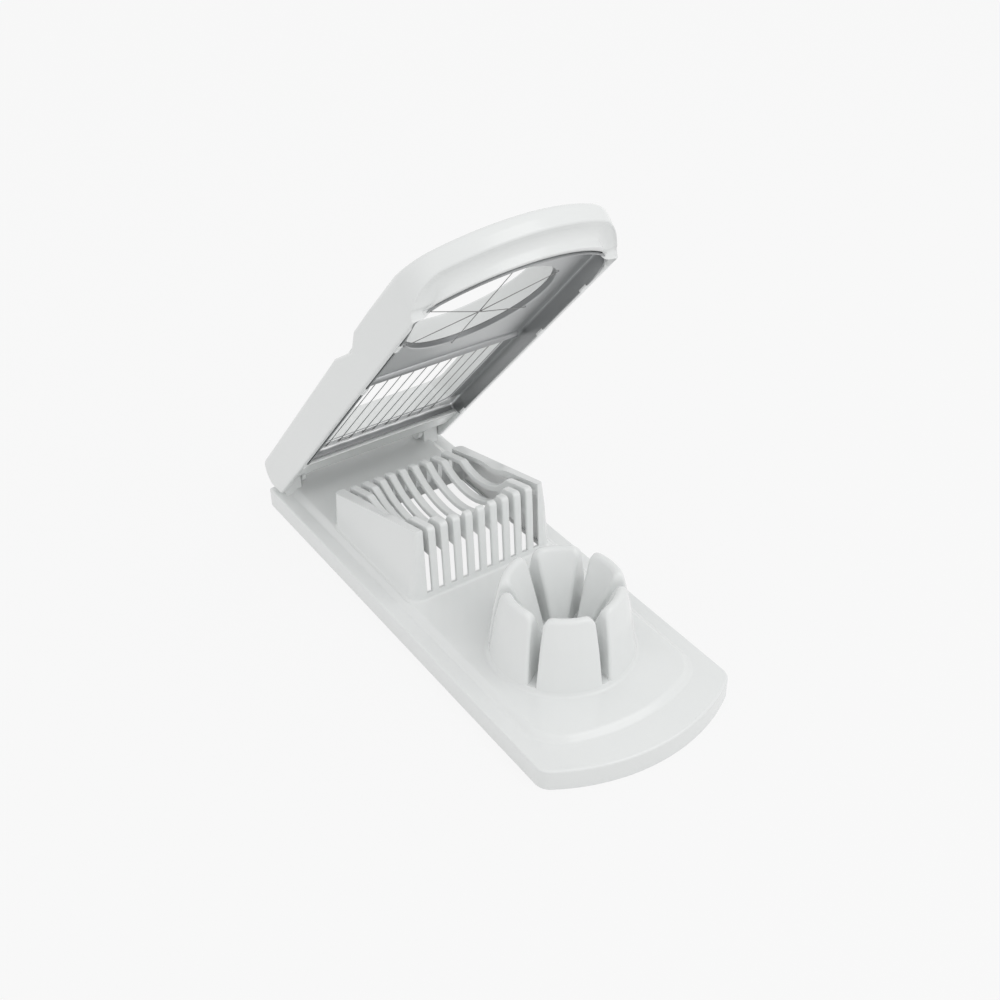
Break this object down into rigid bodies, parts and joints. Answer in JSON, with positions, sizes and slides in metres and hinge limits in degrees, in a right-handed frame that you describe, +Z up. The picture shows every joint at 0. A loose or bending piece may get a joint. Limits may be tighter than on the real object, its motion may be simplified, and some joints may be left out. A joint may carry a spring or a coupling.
{
  "type": "egg slicer",
  "caption": "Flat kitchen egg slicer: a hinged lid with a wire-strung steel frame closes over a base with a slotted slicing cradle and a slit wedge cup.",
  "frame": {"origin": "on the table, under the middle of the open slicer's bounding box", "axes": "+X across the slicer, +Y along it towards the hinge, +Z up from the table"},
  "size_m": [0.08, 0.2093, 0.1664],
  "materials": {
    "white_shell": "glossy white moulded plastic",
    "sheet_steel": "pressed stainless sheet, satin",
    "wire_steel": "drawn stainless wire",
    "pin_steel": "turned stainless pin"
  },
  "bodies": {
    "base": {"base_plate": "white_shell", "cradle_foot": "white_shell", "cradle_ribs": "white_shell", "cradle_side_left": "white_shell", "cradle_side_right": "white_shell", "wedge_cup": "white_shell", "hinge_post_left": "white_shell", "hinge_post_right": "white_shell"},
    "lid": {"lid_frame": "white_shell", "hinge_pin_left": "pin_steel", "hinge_pin_right": "pin_steel", "wire_frame": "sheet_steel", "slicing_wire": "wire_steel", "wedge_wire": "wire_steel"}
  },
  "joints": [
    {"name": "lid_hinge", "type": "hinge", "parent": "base", "child": "lid", "pos_m": [0, 0.096, 0.0154], "axis": [-1, 0, 0], "range_deg": [-48, 47]}
  ]
}
